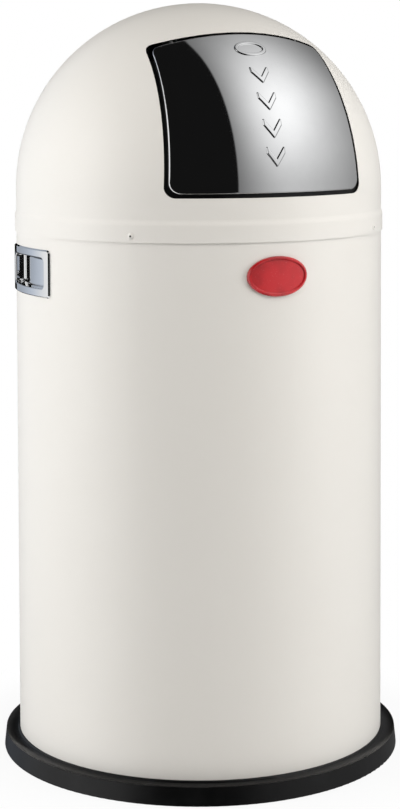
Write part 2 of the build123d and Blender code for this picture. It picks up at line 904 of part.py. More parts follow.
def ear_rivet_angles():
    return [side + end * ear_rivet_offset for side in (90, 270) for end in (-1, 1)]


def bail_ears():
    low, high = bail_pivot_height - ear_pad_height / 2, liner_top - 2 * liner_bead_radius - ear_top_gap
    band = turned_points(
        (liner_radius(low) + fixed_gap, low),
        (liner_radius(low) + fixed_gap + ear_pad_thickness, low),
        (liner_radius(high) + fixed_gap + ear_pad_thickness, high),
        (liner_radius(high) + fixed_gap, high),
    )
    outline = SlotOverall(ear_pad_width, ear_pad_height)
    back = liner_radius(bail_pivot_height) + fixed_gap
    end = back + ear_boss_stand
    ear = side_prism(outline, bail_pivot_height) & band
    ear += peg(ear_boss_radius, back + ear_boss_sink, end, 90, bail_pivot_height)
    ear -= peg(bail_wire_radius + bail_hole_gap, back + bail_hole_gap, body_radius, 90, bail_pivot_height)
    for angle in ear_rivet_angles()[:2]:
        ear -= peg(ear_rivet_radius + fixed_gap, liner_bottom_radius, body_radius, angle, bail_pivot_height)
    return group([ear, mirrored(ear)])


def ear_rivets():
    wall = liner_radius(bail_pivot_height)
    outside = wall + fixed_gap + ear_pad_thickness + ear_rivet_lean
    inside = wall - sheet - ear_rivet_lean
    outline = Polyline(
        (inside - ear_rivet_head_height, 0),
        (inside - ear_rivet_head_height, ear_rivet_head_radius),
        (inside, ear_rivet_head_radius),
        (inside, ear_rivet_radius),
        (outside, ear_rivet_radius),
        (outside, ear_rivet_head_radius),
        (outside + ear_rivet_head_height, ear_rivet_head_radius),
        (outside + ear_rivet_head_height, 0),
        close=True,
    )
    rivet = Pos(0, 0, bail_pivot_height) * revolve(make_face(outline), Axis.X, 360)
    return group([Rot(0, 0, angle - 90) * rivet for angle in ear_rivet_angles()])


def bail_path():
    """The bail at rest, lying round the back of the liner."""
    tip = liner_radius(bail_pivot_height) + fixed_gap + free_gap + 2 * bail_hole_gap
    z = bail_pivot_height
    edges = [
        Line((tip, 0, z), (bail_radius - bail_bend, 0, z)),
        RadiusArc((bail_radius - bail_bend, 0, z), (bail_radius, bail_bend, z), -bail_bend),
        ThreePointArc(
            (bail_radius, bail_bend, z), (0, bail_radius + bail_bend, z), (-bail_radius, bail_bend, z)
        ),
        RadiusArc((-bail_radius, bail_bend, z), (-bail_radius + bail_bend, 0, z), -bail_bend),
        Line((-bail_radius + bail_bend, 0, z), (-tip, 0, z)),
    ]
    return edges


def bail_wire():
    return swept(bail_path(), Circle(bail_wire_radius))


def bail_grip():
    half = bail_grip_angle / 2
    outline = Circle(bail_grip_radius) - Circle(bail_wire_radius + fixed_gap)
    start = Plane.XZ * (Pos(bail_radius, 0) * outline)
    grip = revolve(start, Axis.Z, bail_grip_angle)
    return Pos(0, bail_bend, bail_pivot_height) * Rot(0, 0, 90 - half) * grip


def save(name, shape):
    solids = shape.solids()
    export_step(solids[0] if len(solids) == 1 else group([shape]), f"parts/{name}.step")


def main():
    os.makedirs("parts", exist_ok=True)
    cup, clamp, bracket, spring = handle_cup(), handle_clamp(), hinge_bracket(), flap_spring()
    pieces = {
        "body_tube": body_tube(),
        "base_ring": base_ring(),
        "floor_pan": floor_pan(),
        "badge_plate": badge_plate(),
        "badge_enamel": badge_enamel(),
        "badge_nuts": badge_nuts(),
        "handle_cup_right": cup,
        "handle_cup_left": mirrored(cup),
        "handle_clamp_right": clamp,
        "handle_clamp_left": mirrored(clamp),
        "handle_nuts": handle_nuts(),
        "hood_shell": hood_shell(),
        "hood_rivets": hood_rivets(),
        "guide_clips": guide_clips(),
        "hinge_bracket_right": bracket,
        "hinge_bracket_left": mirrored(bracket),
        "hinge_axle": hinge_axle(),
        "axle_clips": axle_clips(),
        "flap_spring_right": spring,
        "flap_spring_left": mirrored(spring),
        "flap_skin": flap_skin(),
        "flap_backing": flap_backing(),
        "hinge_strap": hinge_strap(),
        "strap_rivets": strap_rivets(),
        "flap_bushes": flap_bushes(),
        "flap_buffers": flap_buffers(),
        "liner": liner(),
        "bail_ears": bail_ears(),
        "ear_rivets": ear_rivets(),
        "bail_wire": bail_wire(),
        "bail_grip": bail_grip(),
    }
    for name, shape in pieces.items():
        save(name, shape)


main()
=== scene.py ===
import json
import math

import bpy
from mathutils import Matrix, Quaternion, Vector


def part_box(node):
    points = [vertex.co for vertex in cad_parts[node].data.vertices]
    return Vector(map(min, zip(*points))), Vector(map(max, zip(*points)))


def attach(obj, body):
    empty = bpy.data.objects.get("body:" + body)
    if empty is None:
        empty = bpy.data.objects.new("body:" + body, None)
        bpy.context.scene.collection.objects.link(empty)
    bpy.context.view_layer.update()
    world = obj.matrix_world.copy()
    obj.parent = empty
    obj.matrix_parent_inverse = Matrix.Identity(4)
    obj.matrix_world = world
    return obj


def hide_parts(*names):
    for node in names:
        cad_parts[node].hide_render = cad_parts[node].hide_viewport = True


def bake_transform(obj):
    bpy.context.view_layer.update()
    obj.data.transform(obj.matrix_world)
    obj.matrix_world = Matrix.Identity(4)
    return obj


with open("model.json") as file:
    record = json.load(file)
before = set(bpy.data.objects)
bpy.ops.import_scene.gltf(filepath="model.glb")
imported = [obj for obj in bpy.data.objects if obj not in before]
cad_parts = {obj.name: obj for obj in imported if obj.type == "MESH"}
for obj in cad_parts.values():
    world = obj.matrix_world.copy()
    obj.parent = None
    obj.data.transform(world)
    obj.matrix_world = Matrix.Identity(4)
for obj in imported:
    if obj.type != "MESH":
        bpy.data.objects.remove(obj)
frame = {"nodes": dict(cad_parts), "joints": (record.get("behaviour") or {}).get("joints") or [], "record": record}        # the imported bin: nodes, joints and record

nodes = frame["nodes"]
for leftover in ("Cube", "Light", "Camera"):  # what a new file starts with
    if leftover in bpy.data.objects:
        bpy.data.objects.remove(bpy.data.objects[leftover])
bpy.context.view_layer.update()  # the CAD box, before anything is added


class Value:  # an output of a node, added, subtracted and multiplied like a number
    def __init__(self, shader, socket):
        self.shader = shader
        self.socket = socket

    def combine(self, operation, first, second):
        return self.shader.add("ShaderNodeMath", {"operation": operation}, {0: first, 1: second})

    def __add__(self, other):
        return self.combine("ADD", self, other)

    def __radd__(self, other):
        return self.combine("ADD", other, self)

    def __sub__(self, other):
        return self.combine("SUBTRACT", self, other)

    def __rsub__(self, other):
        return self.combine("SUBTRACT", other, self)

    def __mul__(self, other):
        return self.combine("MULTIPLY", self, other)

    def __rmul__(self, other):
        return self.combine("MULTIPLY", other, self)

    def __neg__(self):
        return self.combine("MULTIPLY", self, -1.0)

    def ramp(self, start, end, low=0.0, high=1.0):  # eases from low to high between two values
        return self.shader.add(
            "ShaderNodeMapRange",
            {"interpolation_type": "SMOOTHSTEP"},
            {"Value": self, "From Min": start, "From Max": end, "To Min": low, "To Max": high},
        )


class Shader:  # the node tree of a material or of the world
    def __init__(self, tree):
        self.tree = tree
        tree.nodes.clear()

    def add(self, kind, settings=None, sockets=None, output=0):
        node = self.tree.nodes.new(kind)
        for name, setting in (settings or {}).items():
            setattr(node, name, setting)
        for name, value in (sockets or {}).items():
            self.plug(node.inputs[name], value)
        if len(node.outputs) == 0:
            return node
        return Value(self, node.outputs[output])

    def plug(self, target, value):
        if isinstance(value, Value):
            self.tree.links.new(value.socket, target)
        elif isinstance(value, (tuple, list)) and target.type == "RGBA" and len(value) == 3:
            target.default_value = (*value, 1.0)
        else:
            target.default_value = value

    def place(self):  # the point on the rest mesh, in metres from the bin's origin
        return self.add("ShaderNodeTexCoord", output="Object")

    def ray(self, kind):  # 1 where a ray of this kind looks, or else 0
        return self.add("ShaderNodeLightPath", output=f"Is {kind} Ray")

    def axes(self, vector):
        split = self.add("ShaderNodeSeparateXYZ", {}, {0: vector})
        return [Value(self, socket) for socket in split.socket.node.outputs]

    def stretched(self, vector, scale):
        return self.add("ShaderNodeVectorMath", {"operation": "MULTIPLY"}, {0: vector, 1: scale})

    def noise(self, vector, pattern):  # the pattern is its grains per metre, detail and roughness
        scale, detail, roughness = pattern
        return self.add(
            "ShaderNodeTexNoise",
            {"noise_dimensions": "3D"},
            {"Vector": vector, "Scale": scale, "Detail": detail, "Roughness": roughness},
        )

    def tint(self, amount, first, second):  # a colour between two colours, by the Mix node's colour sockets
        return self.add(
            "ShaderNodeMix",
            {"data_type": "RGBA", "blend_type": "MIX"},
            {0: amount, 6: first, 7: second},
            output=2,
        )

    def bump(self, height, distance, under=None):  # in metres, over another bump where one is given
        sockets = {"Height": height, "Distance": distance, "Strength": 1.0}
        if under is not None:
            sockets["Normal"] = under
        return self.add("ShaderNodeBump", {}, sockets)


def makeMaterial(name, build, settings):
    material = bpy.data.materials.new(name)
    material.use_nodes = True
    shader = Shader(material.node_tree)
    surface = shader.add("ShaderNodeBsdfPrincipled", {}, build(shader, settings))
    shader.add("ShaderNodeOutputMaterial", {}, {"Surface": surface})
    return material


whitePaint = {
    "colour": (0.80, 0.775, 0.735),
    "thinColour": (0.765, 0.735, 0.69),  # where the powder lies thinner
    "thinShare": 0.6,
    "roughness": 0.40,
    "gloss": 0.45,
    "cloud": (9.0, 4.0, 0.6),  # broad patches: grains per metre, detail and roughness, as in all noises
    "cloudRoughness": 0.08,
    "peel": (1 / 0.0022, 3.0, 0.45),  # orange peel, 2.2 mm from crest to crest
    "peelRoughness": 0.05,
    "peelHeight": 0.000035,
    "wave": (1 / 0.03, 2.0, 0.4),
    "waveHeight": 0.00005,
    "footDarkening": 0.12,  # darker towards the foot of the tube
    "footDarkeningTop": 0.20,  # the darkening has gone at this height
}


def paintCoat(shader, settings):
    place = shader.place()
    peel = shader.noise(place, settings["peel"])
    wave = shader.noise(place, settings["wave"])
    cloud = shader.noise(place, settings["cloud"])
    # the colour turns darker towards the foot of the tube and fades out upwards
    footDarkening = shader.axes(place)[2].ramp(0.0, settings["footDarkeningTop"], settings["footDarkening"], 0.0)
    dulled = settings["cloudRoughness"] * (cloud - 0.5) + settings["peelRoughness"] * (peel - 0.5)
    under = shader.bump(wave, settings["waveHeight"])
    return {
        "Base Color": shader.tint(
            cloud * settings["thinShare"] + footDarkening, settings["colour"], settings["thinColour"]
        ),
        "Roughness": settings["roughness"] + dulled,
        "Specular IOR Level": settings["gloss"],
        "Normal": shader.bump(peel, settings["peelHeight"], under),
    }


blackMoulding = {
    "colour": (0.0028, 0.0028, 0.0030),
    "rubbedColour": (0.0075, 0.0075, 0.0080),
    "roughness": 0.30,
    "gloss": 0.34,
    "rub": (24.0, 5.0, 0.65),
    "rubRange": (0.45, 0.75),  # the noise levels where the colour starts and ends to change
    "rubMiddle": 0.4,
    "rubRoughness": 0.16,
    "flow": (60.0, 1.0, 0.3),
    "flowRoughness": 0.04,
    "grain": (1 / 0.0006, 2.0, 0.5),  # 0.6 mm from crest to crest
    "grainHeight": 0.000012,
}


def mouldedPlastic(shader, settings):
    place = shader.place()
    grain = shader.noise(place, settings["grain"])
    rub = shader.noise(place, settings["rub"])
    flow = shader.noise(place, settings["flow"])
    rubbed = rub.ramp(*settings["rubRange"])
    dulled = settings["rubRoughness"] * (rub - settings["rubMiddle"]) + settings["flowRoughness"] * flow
    return {
        "Base Color": shader.tint(rubbed, settings["colour"], settings["rubbedColour"]),
        "Roughness": settings["roughness"] + dulled,
        "Specular IOR Level": settings["gloss"],
        "Normal": shader.bump(grain, settings["grainHeight"]),
    }


mirrorSteel = {
    "colour": (0.87, 0.875, 0.88),
    "smudgedColour": (0.80, 0.805, 0.81),
    "roughness": 0.035,
    "smudge": (14.0, 5.0, 0.6),
    "smudgeRange": (0.35, 0.8),
    "smudgeRoughness": 0.05,
    "dullRange": (0.45, 0.85),
    "hair": (1.0, 3.0, 0.6),
    "hairStretch": (900.0, 900.0, 60.0),  # per metre along each axis, so the scratches run upright
    "hairHeight": 0.0000012,
    "ripple": (1 / 0.07, 1.0, 0.3),
    "rippleHeight": 0.000018,
}


def polishedSteel(shader, settings):
    place = shader.place()
    smudge = shader.noise(place, settings["smudge"])
    hair = shader.noise(shader.stretched(place, settings["hairStretch"]), settings["hair"])
    ripple = shader.noise(place, settings["ripple"])
    smudged = smudge.ramp(*settings["smudgeRange"])
    dulled = settings["smudgeRoughness"] * smudge.ramp(*settings["dullRange"])
    under = shader.bump(ripple, settings["rippleHeight"])
    return {
        "Base Color": shader.tint(smudged, settings["colour"], settings["smudgedColour"]),
        "Metallic": 1.0,
        "Roughness": settings["roughness"] + dulled,
        "Normal": shader.bump(hair, settings["hairHeight"], under),
    }


millSteel = {
    "colour": (0.56, 0.56, 0.555),
    "darkColour": (0.40, 0.40, 0.395),
    "metallic": 0.7,  # the rest is oil and dulled skin
    "roughness": 0.30,
    "patch": (70.0, 4.0, 0.6),
    "patchRange": (0.3, 0.75),
    "patchMiddle": 0.4,
    "patchRoughness": 0.18,
    "lines": (1.0, 3.0, 0.6),
    "lineStretch": (80.0, 2600.0, 2600.0),  # per metre along each axis, so the rolling lines run along x
    "lineRoughness": 0.06,
    "lineHeight": 0.000008,
}


def rolledSteel(shader, settings):
    place = shader.place()
    lines = shader.noise(shader.stretched(place, settings["lineStretch"]), settings["lines"])
    patch = shader.noise(place, settings["patch"])
    patched = patch.ramp(*settings["patchRange"])
    dulled = settings["patchRoughness"] * (patch - settings["patchMiddle"])
    lined = settings["lineRoughness"] * lines
    return {
        "Base Color": shader.tint(patched, settings["colour"], settings["darkColour"]),
        "Metallic": settings["metallic"],
        "Roughness": settings["roughness"] + dulled + lined,
        "Normal": shader.bump(lines, settings["lineHeight"]),
    }


zincCoat = {
    "lightColour": (0.66, 0.675, 0.69),
    "darkColour": (0.44, 0.455, 0.475),
    "metallic": 0.45,  # the rest is its dull oxide
    "roughness": 0.40,
    "spangleSize": 0.009,
    "spangleRoughness": 0.20,
    "edgeNoise": 160.0,  # per metre: it makes the spangles' edges wander
    "edgeWander": 0.004,
    "edgeHeight": 0.00002,
    "frost": (420.0, 4.0, 0.7),
    "frostShare": 0.25,
    "frostRoughness": 0.10,
}


def galvanisedSheet(shader, settings):
    place = shader.place()
    wander = shader.add(
        "ShaderNodeTexNoise", {}, {"Vector": place, "Scale": settings["edgeNoise"]}, output="Color"
    )
    warped = shader.add(
        "ShaderNodeVectorMath",
        {"operation": "MULTIPLY_ADD"},
        {0: wander, 1: [settings["edgeWander"]] * 3, 2: place},
    )
    cells = shader.add(
        "ShaderNodeTexVoronoi", {}, {"Vector": warped, "Scale": 1 / settings["spangleSize"]}, output="Color"
    )
    shade = shader.axes(cells)[0]
    frost = shader.noise(place, settings["frost"])
    mix = (1 - settings["frostShare"]) * shade + settings["frostShare"] * frost
    dulled = settings["spangleRoughness"] * (shade - 0.5) + settings["frostRoughness"] * (frost - 0.5)
    return {
        "Base Color": shader.tint(mix, settings["darkColour"], settings["lightColour"]),
        "Metallic": settings["metallic"],
        "Roughness": settings["roughness"] + dulled,
        "Normal": shader.bump(mix, settings["edgeHeight"]),
    }


badgeEnamel = {
    "colour": (0.56, 0.012, 0.018),
    "deepColour": (0.36, 0.006, 0.010),
    "roughness": 0.22,
    "coatRoughness": 0.06,
    "pool": (45.0, 3.0, 0.5),  # where the enamel ran together
    "poolRange": (0.35, 0.7),
    "poolHeight": 0.00008,
    "pits": (700.0, 2.0, 0.5),
    "pitRoughness": 0.08,
    "pitHeight": 0.000004,
}


def firedEnamel(shader, settings):
    place = shader.place()
    pool = shader.noise(place, settings["pool"])
    pits = shader.noise(place, settings["pits"])
    pooled = pool.ramp(*settings["poolRange"])
    under = shader.bump(pits, settings["pitHeight"])
    return {
        "Base Color": shader.tint(pooled, settings["colour"], settings["deepColour"]),
        "Roughness": settings["roughness"] + settings["pitRoughness"] * pits,
        "Coat Weight": 1.0,
        "Coat Roughness": settings["coatRoughness"],
        "Normal": shader.bump(pool, settings["poolHeight"], under),
    }


bufferRubber = {
    "colour": (0.016, 0.016, 0.016),
    "dustColour": (0.05, 0.048, 0.045),
    "roughness": 0.72,
    "dust": (120.0, 5.0, 0.65),
    "dustRange": (0.5, 0.85),
    "dustRoughness": 0.15,
    "skin": (1800.0, 2.0, 0.5),
    "skinHeight": 0.00001,
}


def softRubber(shader, settings):
    place = shader.place()
    dust = shader.noise(place, settings["dust"])
    skin = shader.noise(place, settings["skin"])
    dusty = dust.ramp(*settings["dustRange"])
    return {
        "Base Color": shader.tint(dusty, settings["colour"], settings["dustColour"]),
        "Roughness": settings["roughness"] + settings["dustRoughness"] * (dust - 0.5),
        "Normal": shader.bump(skin, settings["skinHeight"]),
    }


bushNylon = {
    "colour": (0.76, 0.74, 0.68),
    "oiledColour": (0.60, 0.57, 0.50),
    "roughness": 0.42,
    "oil": (220.0, 3.0, 0.6),
    "oilRange": (0.45, 0.8),
    "oilShine": 0.15,
    "oilHeight": 0.00001,
}


def whiteNylon(shader, settings):
    oil = shader.noise(shader.place(), settings["oil"])
    oiled = oil.ramp(*settings["oilRange"])
    return {
        "Base Color": shader.tint(oiled, settings["colour"], settings["oiledColour"]),
        "Roughness": settings["roughness"] - settings["oilShine"] * oiled,
        "Normal": shader.bump(oil, settings["oilHeight"]),
    }


finishes = {
    "white_coat": makeMaterial("whitePowderCoat", paintCoat, whitePaint),
    "black_plastic": makeMaterial("blackMouldedPlastic", mouldedPlastic, blackMoulding),
    "polished_steel": makeMaterial("polishedSteel", polishedSteel, mirrorSteel),
    "plain_steel": makeMaterial("rolledSteel", rolledSteel, millSteel),
    "galvanised_steel": makeMaterial("galvanisedSteel", galvanisedSheet, zincCoat),
    "red_enamel": makeMaterial("redEnamel", firedEnamel, badgeEnamel),
    "black_rubber": makeMaterial("blackRubber", softRubber, bufferRubber),
    "white_nylon": makeMaterial("whiteNylon", whiteNylon, bushNylon),
}
slotOf = {part["node"]: part["material_slot"] for part in frame["record"]["subparts"]}
for nodeName, piece in nodes.items():
    for materialSlot in piece.material_slots:
        materialSlot.material = finishes[slotOf[nodeName]]
print("finishes made:", len(finishes))


def addPiece(name, mesh, slotName):
    mesh.materials.append(finishes[slotName])
    piece = bpy.data.objects.new(name, mesh)
    bpy.context.scene.collection.objects.link(piece)
    return piece


def wireMesh(name, points, radius, sides):  # a round wire along a line of points
    vertices, faces = [], []
    lines = [(after - before).normalized() for before, after in zip(points, points[1:])]
    ways = [lines[0]] + [(a + b).normalized() for a, b in zip(lines, lines[1:])] + [lines[-1]]
    across = ways[0].orthogonal().normalized()
    for point, way in zip(points, ways):
        across = (across - way * across.dot(way)).normalized()  # carried along without twist
        other = way.cross(across)
        for side in range(sides):
            turn = 2 * math.pi * side / sides
            vertices.append(point + radius * (math.cos(turn) * across + math.sin(turn) * other))
    for ring in range(len(points) - 1):
        for side in range(sides):
            first, second = ring * sides + side, ring * sides + (side + 1) % sides
            faces.append((first, second, second + sides, first + sides))
    faces.append(tuple(reversed(range(sides))))
    faces.append(tuple(range(len(vertices) - sides, len(vertices))))
    mesh = bpy.data.meshes.new(name)
    mesh.from_pydata(vertices, [], faces)
    mesh.polygons.foreach_set("use_smooth", [len(face) == 4 for face in faces])
    return mesh


def easedCurve(start, startWay, end, endWay, steps):  # a cubic between two points and directions
    reach = (end - start).length / 2
    first, second = start + startWay.normalized() * reach, end - endWay.normalized() * reach
    curve = []
    for step in range(1, steps):
        t = step / steps
        u = 1 - t
        curve.append(u ** 3 * start + 3 * u * u * t * first + 3 * u * t * t * second + t ** 3 * end)
    return curve


springSizes = {
    "wireRadius": 0.0007,
    "coilRadius": 0.0046,
    "turns": 6,
    "coilSpan": (0.0399, 0.05935),  # from the middle of the bin, along the axle
    "legLength": 0.006,
    "bendLength": 0.003,
    "holeReach": 0.002,  # how far each leg reaches into its plate
    "heldLength": 0.004,  # beyond its plate, a leg still turns with it
    "flapHoleTurn": 180.0,  # direction of each leg's hole from the axle, in degrees
    "hoodHoleTurn": 80.0,
    "pointsPerTurn": 40,
    "bendSteps": 10,
    "sides": 14,
}


def springLine(sizes, axle, xStart, xEnd):
    coil, leg, bend, steps = (sizes[key] for key in ("coilRadius", "legLength", "bendLength", "bendSteps"))
    lead = math.degrees(math.atan2(leg, coil))
    out = math.hypot(coil, leg)

    def around(radius, turn, x):
        angle = math.radians(turn)
        return Vector((x, axle.y + radius * math.cos(angle), axle.z + radius * math.sin(angle)))

    firstTurn = sizes["flapHoleTurn"] + lead
    lastTurn = sizes["hoodHoleTurn"] - lead + 360.0 * sizes["turns"]
    side = 1 if xEnd > xStart else -1
    coilStart, coilEnd = (side * place for place in sizes["coilSpan"])
    count = int(sizes["pointsPerTurn"] * (lastTurn - firstTurn) / 360)
    climb = (coilEnd - coilStart) / math.radians(lastTurn - firstTurn)

    def way(turn):
        angle = math.radians(turn)
        return Vector((climb, -coil * math.sin(angle), coil * math.cos(angle)))

    winding = []
    for point in range(count + 1):
        share = point / count
        turn = firstTurn + (lastTurn - firstTurn) * share
        winding.append(around(coil, turn, coilStart + (coilEnd - coilStart) * share))
    along = Vector((side, 0, 0))
    firstBend = around(out, sizes["flapHoleTurn"], coilStart - side * bend)
    lastBend = around(out, sizes["hoodHoleTurn"], coilEnd + side * bend)
    line = [around(out, sizes["flapHoleTurn"], xStart), firstBend]
    line += easedCurve(firstBend, along, winding[0], way(firstTurn), steps)
    line += winding
    line += easedCurve(winding[-1], way(lastTurn), lastBend, along, steps)
    line += [lastBend, around(out, sizes["hoodHoleTurn"], xEnd)]
    return line


def addSpring(name, node, side):
    low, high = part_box(node)
    inner, outer = sorted((abs(low.x), abs(high.x)))
    hinge = next(joint for joint in frame["joints"] if joint["name"] == "flap_hinge")
    axle = Vector(hinge["pos_m"])
    line = springLine(springSizes, axle, side * inner, side * outer)
    mesh = wireMesh(name, line, springSizes["wireRadius"], springSizes["sides"])
    piece = addPiece(name, mesh, "plain_steel")
    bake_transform(piece)
    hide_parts(node)


for springName, springNode, springSide in (
    ("flapSpringRight", "flap_spring_right", 1),
    ("flapSpringLeft", "flap_spring_left", -1),
):
    addSpring(springName, springNode, springSide)
print("springs wound")


rivetHoleShade = {  # painted shade: a black core in each rivet head's dimple on the hood's band; it sits where a pop rivet's mandrel end is, but its black finish stands in for the shade of the rivet's hole
    "turns": (43.5, 136.5, 223.5, 316.5),  # degrees round the bin from its front
    "height": 0.533,
    "radius": 0.00095,
    "reach": (0.18702, 0.18725),  # from the bin's axis
    "sides": 24,
}


def addShadePin(name, turn, sizes):
    out = Vector((math.sin(math.radians(turn)), -math.cos(math.radians(turn)), 0))
    ends = [out * reach + Vector((0, 0, sizes["height"])) for reach in sizes["reach"]]
    # the black rubber finish paints the shade of the rivet's hole
    piece = addPiece(name, wireMesh(name, ends, sizes["radius"], sizes["sides"]), "black_rubber")
    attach(piece, "hood")


for number, turn in enumerate(rivetHoleShade["turns"], 1):
    addShadePin(f"rivetPin{number}", turn, rivetHoleShade)
print("rivet cores set")


marks = {  # pressed marks on the flap: plain chevrons and an oval ring
    "domeRadius": 0.185,
    "skinProud": 0.0012,  # the flap's skin, outside the dome
    "chevronElevations": (37.3, 28.3, 19.7, 11.3),
    "chevronSize": (0.017, 0.017),
    "chevronStroke": 0.00504,  # upright
    "ringElevation": 47.8,
    "ringSize": (0.031, 0.019),
    "ringStroke": 0.0022,
    "height": 0.0011,
    "shoulder": 0.0011,  # the metal slopes down over this width
    "margin": 0.0001,  # the full height goes this far past the outline
    "sink": 0.00004,  # the foot of the slope lies this far under the skin
    "spacing": 0.00035,  # between the points of the mesh
    "ringPoints": 64,
}


def edgeDistance(corners, across, up):  # to a closed outline, negative inside it
    nearest, inside = math.inf, False
    for (x0, y0), (x1, y1) in zip(corners, corners[1:] + corners[:1]):
        dx, dy = x1 - x0, y1 - y0
        share = ((across - x0) * dx + (up - y0) * dy) / (dx * dx + dy * dy)
        share = min(max(share, 0.0), 1.0)
        nearest = min(nearest, math.hypot(across - x0 - share * dx, up - y0 - share * dy))
        if (y0 > up) != (y1 > up) and across < x0 + (up - y0) * dx / dy:
            inside = not inside
    return -nearest if inside else nearest


def chevronCorners():
    half, rise = marks["chevronSize"][0] / 2, marks["chevronSize"][1] / 2
    low = rise - marks["chevronStroke"]
    return [(-half, rise), (-half, low), (0, -rise), (half, low), (half, rise), (0, -low)]


def ovalCorners(inset):
    wide, tall = marks["ringSize"][0] / 2 - inset, marks["ringSize"][1] / 2 - inset
    turns = [2 * math.pi * step / marks["ringPoints"] for step in range(marks["ringPoints"])]
    return [(wide * math.cos(turn), tall * math.sin(turn)) for turn in turns]


def slopeShare(outside, hollow, across, up):  # 0 on top of a mark, 1 on the plain skin round it
    gap = edgeDistance(outside, across, up)
    if hollow:
        gap = max(gap, -edgeDistance(hollow, across, up))
    return min(max((gap - marks["margin"]) / marks["shoulder"], 0.0), 1.0)


def raisedFaces(columns, rows, raised):  # the squares of the grid with a corner above the skin
    faces = []
    for row in range(rows):
        for column in range(columns):
            corner = row * (columns + 1) + column
            face = (corner, corner + 1, corner + columns + 2, corner + columns + 1)
            if any(raised[index] for index in face):
                faces.append(face)
    return faces


def addMark(name, elevation, size, outside, hollow=None):  # sheet raised smoothly over a mark's outline
    turn = math.radians(elevation)
    outward = Vector((0, -math.cos(turn), math.sin(turn)))
    upward = Vector((0, math.sin(turn), math.cos(turn)))
    centre = Vector((0, 0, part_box("hood_shell")[1].z - marks["domeRadius"]))
    skin = marks["domeRadius"] + marks["skinProud"]
    rim = marks["margin"] + marks["shoulder"]
    wide, tall = (length + 2 * rim for length in size)
    columns, rows = (int(length / marks["spacing"]) + 1 for length in (wide, tall))
    vertices, raised = [], []
    for row in range(rows + 1):
        up = (row / rows - 0.5) * tall
        for column in range(columns + 1):
            across = (column / columns - 0.5) * wide
            slope = slopeShare(outside, hollow, across, up)
            radius = skin + marks["height"] * (1 + math.cos(math.pi * slope)) / 2 - marks["sink"]
            depth = math.sqrt(radius ** 2 - across ** 2 - up ** 2)
            vertices.append(centre + outward * depth + upward * up + Vector((across, 0, 0)))
            raised.append(slope < 1)
    faces = raisedFaces(columns, rows, raised)
    used = sorted({index for face in faces for index in face})
    order = {index: place for place, index in enumerate(used)}
    corners = [vertices[index] for index in used]
    mesh = bpy.data.meshes.new(name)
    mesh.from_pydata(corners, [], [[order[index] for index in face] for face in faces])
    mesh.polygons.foreach_set("use_smooth", [True] * len(faces))
    piece = addPiece(name, mesh, "polished_steel")
    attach(piece, "flap")


for number, elevation in enumerate(marks["chevronElevations"], 1):
    addMark(f"chevronMark{number}", elevation, marks["chevronSize"], chevronCorners())
addMark(
    "ringMark", marks["ringElevation"], marks["ringSize"], ovalCorners(0.0), ovalCorners(marks["ringStroke"])
)
print("marks raised")


studio = {
    "aim": (0.0, 0.0, 0.40),
    "distance": 2.6,
    "nearer": 0.4,  # a light comes this much nearer for each metre of its height
    "lights": {  # degrees round the bin from its front, height, size and power
        "leftBackLight": (-130.0, 0.7, (0.9, 2.2), 22.0),
        "leftLight": (-95.0, 0.7, (0.9, 2.2), 42.0),
        "rightLight": (52.0, 0.8, (0.9, 2.2), 40.0),
        "topLight": (0.0, 2.6, (1.6, 1.6), 34.0),
        "lowLight": (-22.0, 0.1, (1.2, 0.6), 3.0),
    },
    "sideColour": (0.985, 0.995, 1.0),
    "warmColour": (1.0, 0.975, 0.93),  # of the lights above and below
    "fill": 0.085,  # even light from all round
    "floorSize": 14.0,
    "floorGrey": 0.72,
    "shadowRadius": (0.20, 0.32),  # the lit floor fades out to white between these
    "shadowShare": 0.08,
}


def addLight(name, turn, height, size, power):
    lamp = bpy.data.lights.new(name, "AREA")
    lamp.shape = "RECTANGLE"
    lamp.size, lamp.size_y = size
    lamp.energy = power
    lamp.color = studio["sideColour"] if name.startswith(("left", "right")) else studio["warmColour"]
    light = bpy.data.objects.new(name, lamp)
    reach, angle = studio["distance"] - height * studio["nearer"], math.radians(turn)
    light.location = (reach * math.sin(angle), -reach * math.cos(angle), height)
    light.rotation_euler = (Vector(studio["aim"]) - light.location).to_track_quat("-Z", "Y").to_euler()
    light.visible_glossy = False  # the world holds what the polished steel mirrors
    bpy.context.scene.collection.objects.link(light)


for lightName, settings in studio["lights"].items():
    addLight(lightName, *settings)


mirrored = {  # what shiny surfaces see of the studio, by direction: x right, y back, z up
    "flag": 0.007,  # black flag at the front left and overhead
    "leftPanel": 0.92,
    "leftPanelTurn": 60.0,  # the panel starts this many degrees left of the front
    "leftPanelEdge": (0.0, 0.05),
    "leftPanelTop": (0.75, 0.45),
    "backGrey": (0.98, 0.46),  # at the two ends of backSpan, along x
    "backSpan": (-1.0, -0.1),
    "backEdge": (0.30, 0.42),
    "backColour": (0.79, 0.87, 1.0),
    "backTint": (-0.80, -0.45),  # the lit back turns bluish between these, along x
    "lowFlag": (-0.35, -0.15),  # darker below the horizon
    "lowGrey": 0.10,
    "sideEdge": (0.002, 0.022),  # the left side ends and the right side starts, along x
    "rightBase": 0.122,
    "rightPeak": 8.57,
    "acrossRamp": (-0.172, 0.721),
    "frontRamp": (-1.127, 3.5),
    "lowRamp": (-0.126, 1.8),
    "lowShare": 0.142,
    "behindEdge": (0.80, 0.92),  # black again straight behind the bin
}


